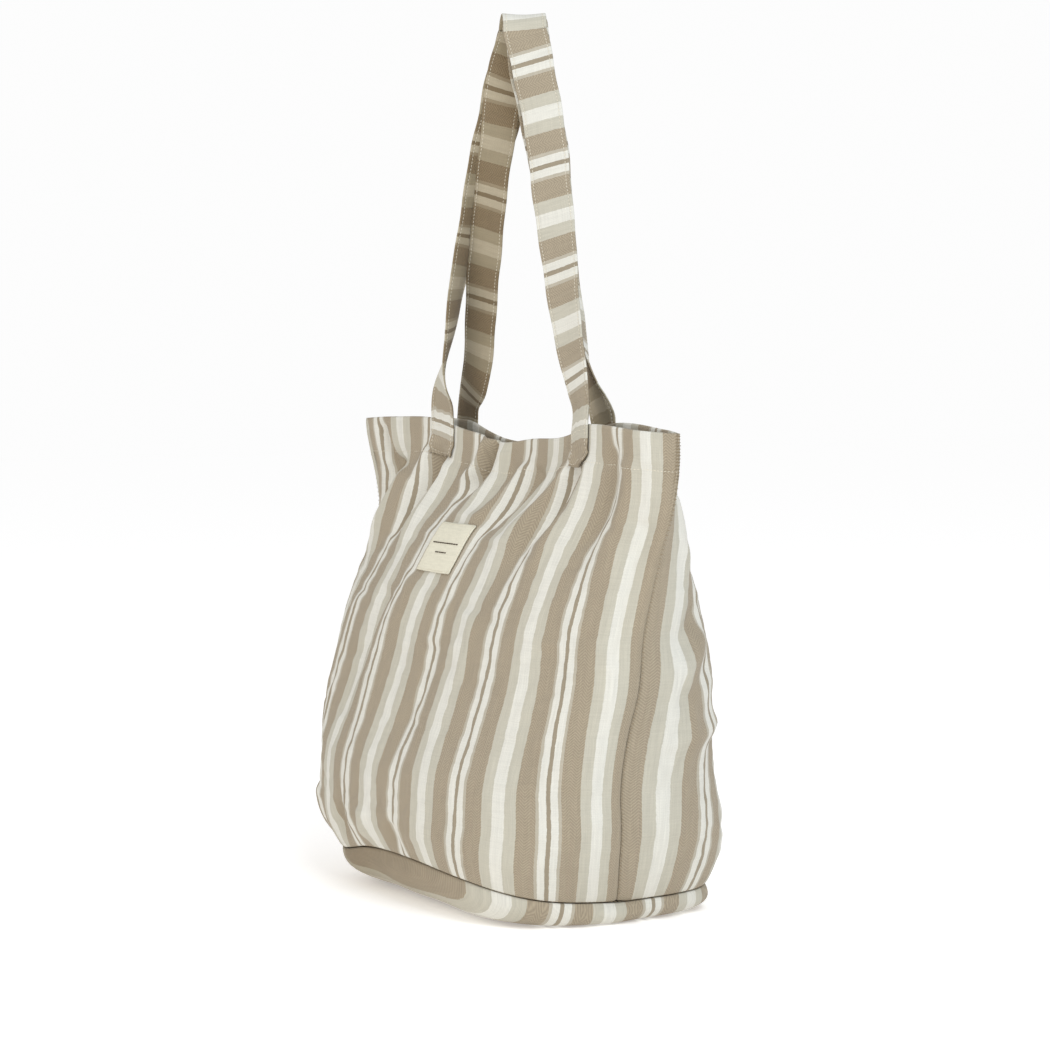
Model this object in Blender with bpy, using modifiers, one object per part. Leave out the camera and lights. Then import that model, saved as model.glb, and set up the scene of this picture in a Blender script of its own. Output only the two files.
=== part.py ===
"""Striped canvas tote bag: a stuffed bag hanging open by two flat shoulder straps.

The frame is X along the mouth, -Y the front, +Z up, with the origin on the surface under the middle of the base.
The cloth of each side wall is a sheet from one side seam to the other, lofted between the bag's level sections.
"""

import math

import bmesh
import bpy
import numpy as np

# The cloth, in metres
CLOTH = 0.0012
CLEARANCE = 0.0003
PATCH_CLEARANCE = 0.0008
PANEL_HALF_WIDTH = 0.255
HEM_DEPTH = 0.036
HEM_SLIT = 0.0005
HEM_EASING = 0.03
HEM_FOLD_DROP = 0.0015
THREAD_RADIUS = 0.00035

# Level sections of the walls: height, half width, half depth, squareness, share of the flat lens of the mouth
BASE_SEAM_HEIGHT = 0.0185
WALL_BOTTOM = 0.0205
RIM = 0.3915
SECTIONS = (
    (WALL_BOTTOM, 0.163, 0.113, 3.6, 0.0),
    (0.060, 0.173, 0.122, 3.2, 0.0),
    (0.110, 0.186, 0.127, 3.0, 0.0),
    (0.160, 0.195, 0.124, 2.8, 0.0),
    (0.210, 0.200, 0.117, 2.6, 0.1),
    (0.255, 0.206, 0.105, 2.3, 0.3),
    (0.295, 0.214, 0.087, 2.1, 0.5),
    (0.325, 0.222, 0.060, 2.0, 0.75),
    (0.356, 0.237, 0.022, 2.0, 1.0),
    (RIM, 0.2535, 0.0085, 2.0, 1.0),
)
# Rings of the base, as shares of the way out to its seam, and where and how sharply it curls up
BASE_RINGS = (0.25, 0.5, 0.65, 0.8, 0.92, 1.0)
FLAT_BASE_SHARE = 0.5
BASE_CURL = 1.5
SEAM_STITCH_MARGIN = 0.002

# The straps
STRAP_WIDTH = 0.036
STRAP_THICKNESS = 0.0024
APEX_HEIGHT = 0.725
TAB_DEPTH = 0.0325
TAB_TOP = RIM - 0.0002
TAB_BOTTOM = RIM - TAB_DEPTH
HINGE_ABOVE_RIM = 0.0035
FRONT_TAB_X = 0.117
BACK_TAB_X = 0.106
FRONT_HOOK_RADIUS = 0.0135
STRAP_SPACING = 0.005
TWIST_SHARE = 0.4
# Shares of a leg's length: where the leg leans in, and where it closes on the other strap
LEAN_SHARE = 0.2
CLOSING_START = 0.35
CLOSING_SHARE = 0.6
LEG_ABOVE_HINGE = 0.001
STITCH_INSET = 0.003

# The label, placed on the cloth from the middle of the front panel
LABEL_WIDTH = 0.060
LABEL_HEIGHT = 0.045
LABEL_MIDDLE = -0.024
LABEL_MIDDLE_HEIGHT = 0.294
LABEL_THICKNESS = 0.0008
LABEL_SLOPE = 0.8
LABEL_STITCH_INSET = 0.002

# Columns and rows of the modelled sheets
COLUMNS = 24
WALL_ROWS = 16
HEM_ROWS = 6
LEG_ROWS = 15
APEX_ROWS = 4
BASE_SIDES = 40

FRONT = -1
BACK = 1


def clear_scene():
    for obj in list(bpy.data.objects):
        bpy.data.objects.remove(obj, do_unlink=True)


def new_collection(name):
    collection = bpy.data.collections.new(name)
    bpy.context.scene.collection.children.link(collection)
    return collection


def new_material(name, colour, roughness):
    material = bpy.data.materials.new(name)
    material.use_nodes = True
    shader = material.node_tree.nodes["Principled BSDF"]
    shader.inputs["Base Color"].default_value = (*colour, 1.0)
    shader.inputs["Roughness"].default_value = roughness
    shader.inputs["Metallic"].default_value = 0.0
    return material


def smooth(value):
    value = min(max(value, 0.0), 1.0)
    return value * value * (3 - 2 * value)


def section_at(height):
    """The section's half width, half depth, squareness and lens share, on a smooth curve through the sections."""
    table = np.array(SECTIONS)
    heights = table[:, 0]
    slopes = np.gradient(table, heights, axis=0)
    below = int(np.clip(np.searchsorted(heights, height, side="right") - 1, 0, len(heights) - 2))
    step = heights[below + 1] - heights[below]
    t = (height - heights[below]) / step
    values = (
        (2 * t**3 - 3 * t**2 + 1) * table[below]
        + (t**3 - 2 * t**2 + t) * step * slopes[below]
        + (3 * t**2 - 2 * t**3) * table[below + 1]
        + (t**3 - t**2) * step * slopes[below + 1]
    )
    return values[1:]


def superellipse_half(half_width, half_depth, squareness, fractions):
    """Points spread evenly along half of a superellipse, from -X to +X, bulging to +Y."""
    angles = np.linspace(math.pi, 0, 241)
    power = 2 / squareness
    x = half_width * np.sign(np.cos(angles)) * np.abs(np.cos(angles)) ** power
    y = half_depth * np.abs(np.sin(angles)) ** power
    lengths = np.concatenate([[0], np.cumsum(np.hypot(np.diff(x), np.diff(y)))])
    wanted = np.asarray(fractions) * lengths[-1]
    return np.interp(wanted, lengths, x), np.interp(wanted, lengths, y)


def seam_gap(height):
    """How far the middle of a wall's cloth stays from the side seam's plane: more beside the folded hem."""
    single = CLOTH / 2 + CLEARANCE
    doubled = single + CLOTH + HEM_SLIT
    return single + (doubled - single) * smooth((height - RIM + HEM_DEPTH + HEM_EASING) / HEM_EASING)


def wall_outline(height, shares):
    """Points on a wall at one height, for shares from -1 at the left seam to 1 at the right one, bulging to +Y."""
    half_width, half_depth, squareness, lens = section_at(height)
    shares = np.asarray(shares)
    round_x, round_y = superellipse_half(half_width, half_depth, squareness, (shares + 1) / 2)
    x = (1 - lens) * round_x + lens * half_width * shares
    y = (1 - lens) * round_y + lens * half_depth * (1 - shares**2)
    return x, y + seam_gap(height)


def wall_points(side, height, shares, outward=0.0):
    """Points on the front (side -1) or back (side 1) wall, moved off the middle of the cloth by outward."""
    step = 1 / (4 * COLUMNS)
    shares = np.asarray(shares, dtype=float)
    x, y = wall_outline(height, shares)
    x_after, y_after = wall_outline(height, np.clip(shares + step, -1, 1))
    x_before, y_before = wall_outline(height, np.clip(shares - step, -1, 1))
    along_x, along_y = x_after - x_before, y_after - y_before
    length = np.hypot(along_x, along_y)
    x = x - along_y / length * outward
    y = y + along_x / length * outward
    return [(px, side * py, height) for px, py in zip(x, y)]


def wall_point(side, height, share, outward=0.0):
    return wall_points(side, height, [share], outward)[0]


def link(obj, collection, material):
    obj.data.materials.append(material)
    collection.objects.link(obj)
    return obj


def sheet_object(name, rows, thickness, collection, material):
    """A sheet through rows of points, thickened evenly about its middle."""
    mesh = bpy.data.meshes.new(name)
    shape = bmesh.new()
    grid = [[shape.verts.new(point) for point in row] for row in rows]
    for lower, upper in zip(grid, grid[1:]):
        for i in range(len(lower) - 1):
            shape.faces.new((lower[i], lower[i + 1], upper[i + 1], upper[i]))
    shape.to_mesh(mesh)
    shape.free()
    mesh.shade_smooth()
    obj = link(bpy.data.objects.new(name, mesh), collection, material)
    solidify = obj.modifiers.new("thickness", "SOLIDIFY")
    solidify.thickness = thickness
    solidify.offset = 0.0
    return obj


def thread_object(name, points, cyclic, collection, material):
    """A seam's thread as one thin tube."""
    curve = bpy.data.curves.new(name, "CURVE")
    curve.dimensions = "3D"
    curve.bevel_depth = THREAD_RADIUS
    curve.bevel_resolution = 0
    curve.use_fill_caps = True
    spline = curve.splines.new("POLY")
    spline.points.add(len(points) - 1)
    for control, point in zip(spline.points, points):
        control.co = (*point, 1.0)
    spline.use_cyclic_u = cyclic
    return link(bpy.data.objects.new(name, curve), collection, material)


def add_wall(name, side, collection, material):
    """A wall from the base seam to the rim, turned over the rim into the hem inside."""
    shares = np.linspace(-1, 1, COLUMNS + 1)
    hem_bottom = RIM - HEM_DEPTH
    hem_heights = np.linspace(hem_bottom, RIM - HEM_FOLD_DROP, HEM_ROWS)
    heights = [*np.linspace(WALL_BOTTOM, hem_bottom, WALL_ROWS)[:-1], *hem_heights]
    rows = [wall_points(side, height, shares) for height in heights]
    fold = CLOTH + HEM_SLIT
    rows.append([(x, y, RIM - CLOTH / 2) for x, y, _ in wall_points(side, RIM, shares, -fold / 2)])
    rows += [wall_points(side, height, shares, -fold) for height in reversed(hem_heights)]
    return sheet_object(name, rows, CLOTH, collection, material)


def base_ring(share, count):
    """A ring of the base, from its middle at share 0 to the base seam at 1."""
    half_width, half_depth, squareness, _ = SECTIONS[0][1:]
    fractions = np.linspace(0, 1, count // 2 + 1)
    x, y = superellipse_half(half_width, half_depth, squareness, fractions)
    curl = smooth((share - FLAT_BASE_SHARE) / (1 - FLAT_BASE_SHARE)) ** BASE_CURL
    height = CLOTH / 2 + (BASE_SEAM_HEIGHT - CLOTH / 2) * curl
    half = [(share * px, share * py, height) for px, py in zip(x, y)]
    other_half = [(-px, -py, pz) for px, py, pz in half[1:-1]]
    return half + other_half


def add_base(collection, material):
    """The base: flat where it rests, curling up to the seam round its edge."""
    count = BASE_SIDES
    mesh = bpy.data.meshes.new("base_panel")
    shape = bmesh.new()
    rings = []
    for share in BASE_RINGS:
        rings.append([shape.verts.new(point) for point in base_ring(share, count)])
    middle = shape.verts.new((0, 0, CLOTH / 2))
    for i in range(count):
        shape.faces.new((middle, rings[0][i], rings[0][(i + 1) % count]))
    for inner, outer in zip(rings, rings[1:]):
        for i in range(count):
            after = (i + 1) % count
            shape.faces.new((inner[i], outer[i], outer[after], inner[after]))
    shape.to_mesh(mesh)
    shape.free()
    mesh.shade_smooth()
    obj = link(bpy.data.objects.new("base_panel", mesh), collection, material)
    solidify = obj.modifiers.new("thickness", "SOLIDIFY")
    solidify.thickness = CLOTH
    solidify.offset = 0.0
    return obj


def patch_lines(middle, half, inset, count):
    """Places across a patch: its edges, and count lines between and on the stitch lines inside them."""
    return [middle - half, *np.linspace(middle - half + inset, middle + half - inset, count), middle + half]


def patch_on(side, shares, heights, outward):
    """Rows of points of a patch lying on a wall, standing off it by outward."""
    return [wall_points(side, height, shares, outward) for height in heights]


def stitches_on(side, shares, heights, outward):
    """Points round the stitch lines of a patch."""
    shares, heights = shares[1:-1], heights[1:-1]
    bottom = wall_points(side, heights[0], shares, outward)
    top = wall_points(side, heights[-1], shares, outward)
    right = [wall_point(side, height, shares[-1], outward) for height in heights]
    left = [wall_point(side, height, shares[0], outward) for height in heights]
    return bottom[:-1] + right[:-1] + top[:0:-1] + left[:0:-1]


def tab_place(side, tab_x):
    """The share of the wall's width at a tab, and how far the middle of the tab's strap stands off the cloth."""
    half_width = section_at(RIM)[0]
    return tab_x / half_width, CLOTH / 2 + PATCH_CLEARANCE + STRAP_THICKNESS / 2


def hinge_of(side, tab_x):
    """The middle of the handle's fold line, just above the rim."""
    share, outward = tab_place(side, tab_x)
    _, y, _ = wall_point(side, RIM, share, outward)
    return (0.0, y, RIM + HINGE_ABOVE_RIM)


def handle_rows(side, tab_x, hook_radius, hinge, width_offsets, outward=0.0):
    """Rows across the strap from the right tab over the top to the left one, from the hinge's own origin."""
    centre_z = APEX_HEIGHT - STRAP_THICKNESS / 2 - FRONT_HOOK_RADIUS - hinge[2]
    lean = math.atan2(tab_x, centre_z) - math.asin(hook_radius / math.hypot(tab_x, centre_z))
    meet = (hook_radius * math.cos(lean), centre_z + hook_radius * math.sin(lean))
    half = []
    for i in range(LEG_ROWS + 1):
        t = i / LEG_ROWS
        x = tab_x + (meet[0] - tab_x) * t
        z = LEG_ABOVE_HINGE + (meet[1] - LEG_ABOVE_HINGE) * t
        y = -hinge[1] * smooth((t - CLOSING_START) / CLOSING_SHARE)
        tilt = lean * smooth(t / LEAN_SHARE)
        twist = math.pi / 2 * smooth(t / TWIST_SHARE)
        half.append((x, y, z, tilt, twist))
    for i in range(1, APEX_ROWS + 1):
        turn = lean + (math.pi / 2 - lean) * i / APEX_ROWS
        x = hook_radius * math.cos(turn)
        z = centre_z + hook_radius * math.sin(turn)
        half.append((x, -hinge[1], z, turn, math.pi / 2))
    rows = []
    for mirror in (1, -1):
        steps = half if mirror == 1 else half[-2::-1]
        for x, y, z, tilt, twist in steps:
            in_plane = np.array([math.cos(tilt), 0, math.sin(tilt)])
            across = np.array([0, -side, 0])
            wide = math.cos(twist) * in_plane + math.sin(twist) * across
            face = math.sin(twist) * in_plane - math.cos(twist) * across
            flip = np.array([mirror, 1, 1])
            centre = np.array([x, y, z]) + outward * face
            rows.append([tuple((centre + wide * offset) * flip) for offset in width_offsets])
    return rows


def add_handle(name, side, tab_x, hook_radius, collection, strap, thread):
    """A free loop of strap with the thread topstitched along it, both about the fold line above the rim."""
    hinge = hinge_of(side, tab_x)
    half = STRAP_WIDTH / 2
    inset = half - STITCH_INSET
    rows = handle_rows(side, tab_x, hook_radius, hinge, (-half, -inset, inset, half))
    loop = sheet_object(name, rows, STRAP_THICKNESS, collection, strap)
    loop.location = hinge
    outward = STRAP_THICKNESS / 2 + CLEARANCE + THREAD_RADIUS
    lines = handle_rows(side, tab_x, hook_radius, hinge, (-inset, inset), outward)[1:-1]
    route = [row[0] for row in lines] + [row[1] for row in reversed(lines)]
    stitching = thread_object(name + "_topstitching", route, True, collection, thread)
    stitching.parent = loop


def add_tabs(name, side, tab_x, collection, strap, thread):
    """The two sewn ends of a strap, lying on the hem, each with its box of stitches."""
    share, outward = tab_place(side, tab_x)
    thread_outward = outward + STRAP_THICKNESS / 2 + CLEARANCE + THREAD_RADIUS
    heights = patch_lines((TAB_BOTTOM + TAB_TOP) / 2, (TAB_TOP - TAB_BOTTOM) / 2, STITCH_INSET, 4)
    half_share = STRAP_WIDTH / 2 / PANEL_HALF_WIDTH
    for end, sign in (("left", -1), ("right", 1)):
        shares = patch_lines(sign * share, half_share, STITCH_INSET / PANEL_HALF_WIDTH, 3)
        rows = patch_on(side, shares, heights, outward)
        sheet_object(f"{name}_{end}_tab", rows, STRAP_THICKNESS, collection, strap)
        route = stitches_on(side, shares, heights, thread_outward)
        thread_object(f"{name}_{end}_tab_stitching", route, True, collection, thread)


def add_label(collection, cloth, thread):
    """The blank label on the front, with the stitches round it."""
    outward = CLOTH / 2 + PATCH_CLEARANCE + LABEL_THICKNESS / 2
    thread_outward = outward + LABEL_THICKNESS / 2 + CLEARANCE + THREAD_RADIUS
    heights = patch_lines(LABEL_MIDDLE_HEIGHT, LABEL_HEIGHT / 2 * LABEL_SLOPE, LABEL_STITCH_INSET, 7)
    half_share = LABEL_WIDTH / 2 / PANEL_HALF_WIDTH
    middle_share = LABEL_MIDDLE / PANEL_HALF_WIDTH
    shares = patch_lines(middle_share, half_share, LABEL_STITCH_INSET / PANEL_HALF_WIDTH, 7)
    sheet_object("label", patch_on(FRONT, shares, heights, outward), LABEL_THICKNESS, collection, cloth)
    route = stitches_on(FRONT, shares, heights, thread_outward)
    thread_object("label_stitching", route, True, collection, thread)


def add_seams(collection, thread):
    """The threads of the hems, the side seams and the base seam, each lying in the groove that it closes."""
    outward = CLOTH / 2 + PATCH_CLEARANCE + THREAD_RADIUS
    hem_line = TAB_BOTTOM - 2 * CLEARANCE - 2 * THREAD_RADIUS
    shares = np.linspace(-1, 1, COLUMNS + 1)[1:-1]
    for name, side in (("front", FRONT), ("back", BACK)):
        route = wall_points(side, hem_line, shares, outward)
        thread_object(f"{name}_hem_stitching", route, False, collection, thread)
    heights = np.linspace(WALL_BOTTOM + SEAM_STITCH_MARGIN, RIM - SEAM_STITCH_MARGIN, COLUMNS + 1)
    for name, sign in (("left", -1), ("right", 1)):
        route = [(sign * (section_at(height)[0] + CLOTH / 2 + outward), 0.0, height) for height in heights]
        thread_object(f"{name}_side_seam_stitching", route, False, collection, thread)
    ring = base_ring(1.0, BASE_SIDES)
    seam_height = (BASE_SEAM_HEIGHT + WALL_BOTTOM) / 2
    grow = 1 + (CLOTH + THREAD_RADIUS + CLEARANCE) / SECTIONS[0][2]
    route = [(x * grow, y * grow, seam_height) for x, y, _ in ring]
    thread_object("base_seam_stitching", route, True, collection, thread)


def main():
    clear_scene()
    collection = new_collection("canvas_tote_bag")
    cloth = new_material("striped_cloth", (0.66, 0.60, 0.50), 0.9)
    strap = new_material("strap_cloth", (0.60, 0.53, 0.42), 0.9)
    label_cloth = new_material("label_cloth", (0.76, 0.71, 0.58), 0.85)
    thread = new_material("thread", (0.80, 0.76, 0.68), 0.7)
    add_wall("front_panel", FRONT, collection, cloth)
    add_wall("back_panel", BACK, collection, cloth)
    add_base(collection, cloth)
    add_label(collection, label_cloth, thread)
    add_seams(collection, thread)
    handles = (
        ("front_handle", FRONT, FRONT_TAB_X, FRONT_HOOK_RADIUS),
        ("back_handle", BACK, BACK_TAB_X, FRONT_HOOK_RADIUS - STRAP_SPACING),
    )
    for name, side, tab_x, hook_radius in handles:
        add_handle(name, side, tab_x, hook_radius, collection, strap, thread)
        add_tabs(name, side, tab_x, collection, strap, thread)


main()
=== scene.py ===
"""Striped cotton tote bag, filled out and held up by both straps.

X runs along the mouth, the front faces -Y and Z is up, in metres. Cloth is measured on each wall in metres:
across from the right side seam, and up from the base seam. Stripes, stitches and folds are placed by those
measures.
"""

import math

import bmesh
import bpy
import numpy as np
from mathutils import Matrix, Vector


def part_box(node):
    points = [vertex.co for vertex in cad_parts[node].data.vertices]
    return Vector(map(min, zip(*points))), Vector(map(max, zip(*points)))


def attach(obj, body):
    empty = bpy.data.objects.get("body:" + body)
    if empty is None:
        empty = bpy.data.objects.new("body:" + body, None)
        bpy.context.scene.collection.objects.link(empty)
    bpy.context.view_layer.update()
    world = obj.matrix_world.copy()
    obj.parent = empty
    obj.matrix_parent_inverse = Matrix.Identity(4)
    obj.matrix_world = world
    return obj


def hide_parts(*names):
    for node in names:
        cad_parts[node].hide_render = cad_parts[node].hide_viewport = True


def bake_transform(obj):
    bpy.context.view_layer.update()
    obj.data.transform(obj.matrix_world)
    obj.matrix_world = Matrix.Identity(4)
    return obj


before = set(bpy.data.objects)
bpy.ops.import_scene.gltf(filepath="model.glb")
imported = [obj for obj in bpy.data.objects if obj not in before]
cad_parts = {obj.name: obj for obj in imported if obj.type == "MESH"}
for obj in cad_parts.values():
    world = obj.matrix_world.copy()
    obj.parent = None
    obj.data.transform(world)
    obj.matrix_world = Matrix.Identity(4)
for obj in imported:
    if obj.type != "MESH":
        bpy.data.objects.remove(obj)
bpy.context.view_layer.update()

FRONT = -1
BACK = 1

# The cloth, and how it is sewn
CLOTH = 0.0012
PANEL_WIDTH = 0.510
WALL_HEIGHT = 0.400
HEM_DEPTH = 0.036
HEM_LINE = 0.0325
SEAM_GAP = 0.0007
SEAM_ALLOWANCE = 0.006
STRIPE_REPEAT = 0.083
FIRST_DARK_LINE = 0.069
STRAP_REPEAT = 0.090
STRAP_DARK_LINE = 0.075

# The straps
STRAP_HALF = 0.0012
TAB_DEPTH = 0.0325
TAB_MIDDLE = 0.016
TAB_GAP = 0.0010
LEG_CURVE_HEIGHT = 0.034
TAB_X = {FRONT: (-0.117, 0.117), BACK: (-0.124, 0.101)}
HOOK_FOOT = 0.7198
HOOK_RISE = {FRONT: 0.0138, BACK: 0.0098}
LEG_FOOT = 0.3955
EDGE_STITCH = 0.0150

# The frame's own heights
BASE_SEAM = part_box("front_panel")[0][2]
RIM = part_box("front_panel")[1][2]

# The label
LABEL_ACROSS = 0.277
LABEL_UP = 0.289
LABEL_SIZE = (0.060, 0.045)
LABEL_THICKNESS = 0.0008

# Level sections of the filled bag: height, half width, front and back half depths, squareness, and the share
# of the flat lens that the mouth has
SECTIONS = (
    (0.020, 0.165, 0.120, 0.120, 3.5, 0.0),
    (0.050, 0.185, 0.130, 0.130, 3.2, 0.0),
    (0.080, 0.200, 0.130, 0.130, 2.9, 0.0),
    (0.115, 0.210, 0.125, 0.125, 2.7, 0.0),
    (0.155, 0.225, 0.105, 0.120, 2.6, 0.0),
    (0.195, 0.235, 0.090, 0.120, 2.5, 0.05),
    (0.235, 0.235, 0.080, 0.115, 2.4, 0.15),
    (0.285, 0.235, 0.060, 0.095, 2.3, 0.35),
    (0.335, 0.240, 0.035, 0.065, 2.1, 0.75),
    (0.360, 0.240, 0.025, 0.030, 2.0, 1.0),
    (0.3915, 0.2515, 0.0085, 0.0085, 2.0, 1.0),
)
# How far a section lies to the right, and its side seams to the back: height, section, seams
LEAN = (
    (0.020, -0.008, -0.005),
    (0.050, -0.010, -0.014),
    (0.080, -0.012, -0.020),
    (0.115, -0.018, -0.023),
    (0.155, -0.025, -0.022),
    (0.195, -0.026, -0.017),
    (0.235, -0.025, -0.014),
    (0.285, -0.015, -0.009),
    (0.335, -0.007, -0.005),
    (0.3915, 0.0, 0.001),
)

# Each rim from the left seam to the right one: share of the width, x, y, height
FRONT_RIM = (
    (-1.00, -0.2500, -0.0200, 0.3945),
    (-0.90, -0.2240, -0.0215, 0.3960),
    (-0.74, -0.1880, -0.0190, 0.3975),
    (-0.57, -0.1400, -0.0140, 0.3980),
    (-0.47, -0.1165, -0.0120, 0.3955),
    (-0.38, -0.0940, -0.0105, 0.3905),
    (-0.25, -0.0600, -0.0090, 0.3860),
    (-0.08, -0.0200, -0.0085, 0.3800),
    (0.08, 0.0260, -0.0070, 0.3845),
    (0.24, 0.0680, -0.0085, 0.3865),
    (0.36, 0.0950, -0.0110, 0.3910),
    (0.47, 0.1190, -0.0150, 0.3985),
    (0.60, 0.1500, -0.0185, 0.4000),
    (0.75, 0.1860, -0.0205, 0.3985),
    (0.90, 0.2180, -0.0165, 0.3965),
    (1.00, 0.2370, 0.0010, 0.3950),
)
BACK_RIM = (
    (-1.00, -0.2500, -0.0200, 0.3945),
    (-0.80, -0.2010, 0.0010, 0.3955),
    (-0.54, -0.1340, 0.0110, 0.3965),
    (-0.44, -0.1110, 0.0120, 0.3950),
    (-0.36, -0.0900, 0.0125, 0.3890),
    (-0.25, -0.0620, 0.0125, 0.3830),
    (0.00, 0.0000, 0.0130, 0.3795),
    (0.25, 0.0620, 0.0125, 0.3830),
    (0.34, 0.0840, 0.0125, 0.3900),
    (0.42, 0.1040, 0.0120, 0.3965),
    (0.80, 0.1960, 0.0150, 0.3965),
    (1.00, 0.2370, 0.0010, 0.3950),
)
# Height of the base seam round the bag: share of the width, front, back
SEAM_HEIGHTS = (
    (-1.00, 0.0280, 0.0280),
    (-0.70, 0.0290, 0.0240),
    (-0.45, 0.0320, 0.0210),
    (-0.20, 0.0420, 0.0200),
    (0.10, 0.0430, 0.0205),
    (0.40, 0.0370, 0.0200),
    (0.75, 0.0225, 0.0195),
    (1.00, 0.0180, 0.0180),
)
# How far the base tucks under before it rests: share of the width, front, back
TUCKS = (
    (-1.00, 0.050, 0.050),
    (-0.60, 0.068, 0.036),
    (0.00, 0.062, 0.030),
    (0.45, 0.048, 0.026),
    (0.80, 0.022, 0.020),
    (1.00, 0.008, 0.008),
)

# How far the base bellies out between its seam and the floor
BASE_BELLY = 0.0035

FOLD_STRENGTH = 1.8
# Folds: (across, up) places along each one, half width, and how far it stands out (in, below 0)
FRONT_FOLDS = (
    # below the left tab
    (((0.395, 0.372), (0.410, 0.335), (0.432, 0.285)), 0.011, 0.0050),
    (((0.376, 0.372), (0.386, 0.335), (0.402, 0.280)), 0.009, -0.0045),
    (((0.358, 0.366), (0.366, 0.330), (0.378, 0.270)), 0.010, 0.0040),
    # the left wing and its shoulder
    (((0.448, 0.362), (0.462, 0.325), (0.478, 0.280)), 0.012, -0.0090),
    (((0.424, 0.352), (0.440, 0.315), (0.455, 0.260)), 0.014, 0.0070),
    (((0.478, 0.395), (0.470, 0.360), (0.476, 0.315)), 0.008, -0.0045),
    # the pucker in the hem
    (((0.300, 0.400), (0.312, 0.366), (0.338, 0.338)), 0.0065, 0.0055),
    (((0.289, 0.400), (0.300, 0.364), (0.322, 0.328)), 0.0055, -0.0060),
    (((0.270, 0.396), (0.281, 0.352), (0.300, 0.300)), 0.010, 0.0035),
    # below the right tab
    (((0.160, 0.372), (0.176, 0.330), (0.200, 0.262)), 0.011, 0.0040),
    (((0.140, 0.370), (0.152, 0.325), (0.176, 0.245)), 0.009, -0.0040),
    (((0.212, 0.372), (0.228, 0.330), (0.252, 0.270)), 0.011, -0.0038),
    (((0.236, 0.376), (0.252, 0.330), (0.276, 0.262)), 0.009, 0.0030),
    (((0.112, 0.372), (0.124, 0.325), (0.145, 0.250)), 0.010, 0.0030),
    # right of the right tab
    (((0.078, 0.384), (0.080, 0.330), (0.094, 0.262)), 0.010, -0.0035),
    (((0.050, 0.376), (0.052, 0.320), (0.060, 0.240)), 0.011, 0.0030),
    (((0.022, 0.330), (0.024, 0.270), (0.026, 0.200)), 0.009, -0.0025),
    # long soft folds down the front
    (((0.300, 0.262), (0.318, 0.190), (0.325, 0.110)), 0.020, 0.0025),
    (((0.345, 0.250), (0.360, 0.170), (0.362, 0.090)), 0.016, -0.0025),
    (((0.405, 0.240), (0.414, 0.160), (0.410, 0.080)), 0.018, 0.0015),
    (((0.180, 0.240), (0.196, 0.160), (0.198, 0.080)), 0.020, 0.0018),
    (((0.230, 0.210), (0.240, 0.150), (0.238, 0.070)), 0.016, -0.0018),
    (((0.085, 0.220), (0.095, 0.140), (0.094, 0.070)), 0.018, -0.0015),
    # where the wall turns under at the base
    (((0.330, 0.050), (0.338, 0.026), (0.345, 0.002)), 0.010, -0.0040),
    (((0.285, 0.046), (0.290, 0.024), (0.296, 0.002)), 0.009, 0.0030),
    (((0.400, 0.060), (0.412, 0.030), (0.420, 0.002)), 0.012, 0.0035),
    (((0.240, 0.040), (0.243, 0.020), (0.246, 0.002)), 0.008, -0.0025),
)
BACK_FOLDS = (
    # beside the right seam
    (((0.060, 0.250), (0.036, 0.226), (0.008, 0.214)), 0.012, -0.0030),
    (((0.066, 0.226), (0.040, 0.203), (0.008, 0.190)), 0.011, 0.0022),
    (((0.074, 0.200), (0.044, 0.178), (0.012, 0.164)), 0.011, -0.0026),
    (((0.090, 0.150), (0.056, 0.140), (0.018, 0.132)), 0.011, 0.0035),
    (((0.096, 0.176), (0.124, 0.150), (0.150, 0.140)), 0.012, -0.0035),
    (((0.030, 0.350), (0.034, 0.310), (0.050, 0.262)), 0.009, 0.0035),
    (((0.056, 0.366), (0.062, 0.320), (0.084, 0.262)), 0.009, -0.0035),
    # below the tabs
    (((0.130, 0.372), (0.120, 0.330), (0.100, 0.270)), 0.011, 0.0045),
    (((0.150, 0.372), (0.146, 0.330), (0.138, 0.270)), 0.009, -0.0040),
    (((0.180, 0.368), (0.190, 0.325), (0.206, 0.265)), 0.011, 0.0035),
    (((0.240, 0.392), (0.246, 0.350), (0.250, 0.290)), 0.012, -0.0040),
    (((0.270, 0.392), (0.272, 0.350), (0.268, 0.290)), 0.010, 0.0035),
    (((0.340, 0.370), (0.326, 0.325), (0.306, 0.260)), 0.011, 0.0040),
    (((0.362, 0.372), (0.362, 0.330), (0.356, 0.270)), 0.009, -0.0040),
    (((0.386, 0.370), (0.400, 0.325), (0.420, 0.262)), 0.011, 0.0040),
    (((0.440, 0.380), (0.446, 0.330), (0.462, 0.280)), 0.012, -0.0050),
    (((0.480, 0.340), (0.484, 0.290), (0.488, 0.230)), 0.010, 0.0035),
    # long soft folds and the base
    (((0.210, 0.250), (0.200, 0.170), (0.196, 0.080)), 0.018, 0.0022),
    (((0.300, 0.250), (0.310, 0.170), (0.312, 0.090)), 0.018, -0.0022),
    (((0.400, 0.240), (0.410, 0.150), (0.408, 0.070)), 0.016, 0.0022),
    (((0.150, 0.056), (0.146, 0.028), (0.140, 0.002)), 0.010, -0.0030),
    (((0.350, 0.056), (0.356, 0.028), (0.362, 0.002)), 0.010, -0.0030),
)

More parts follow.
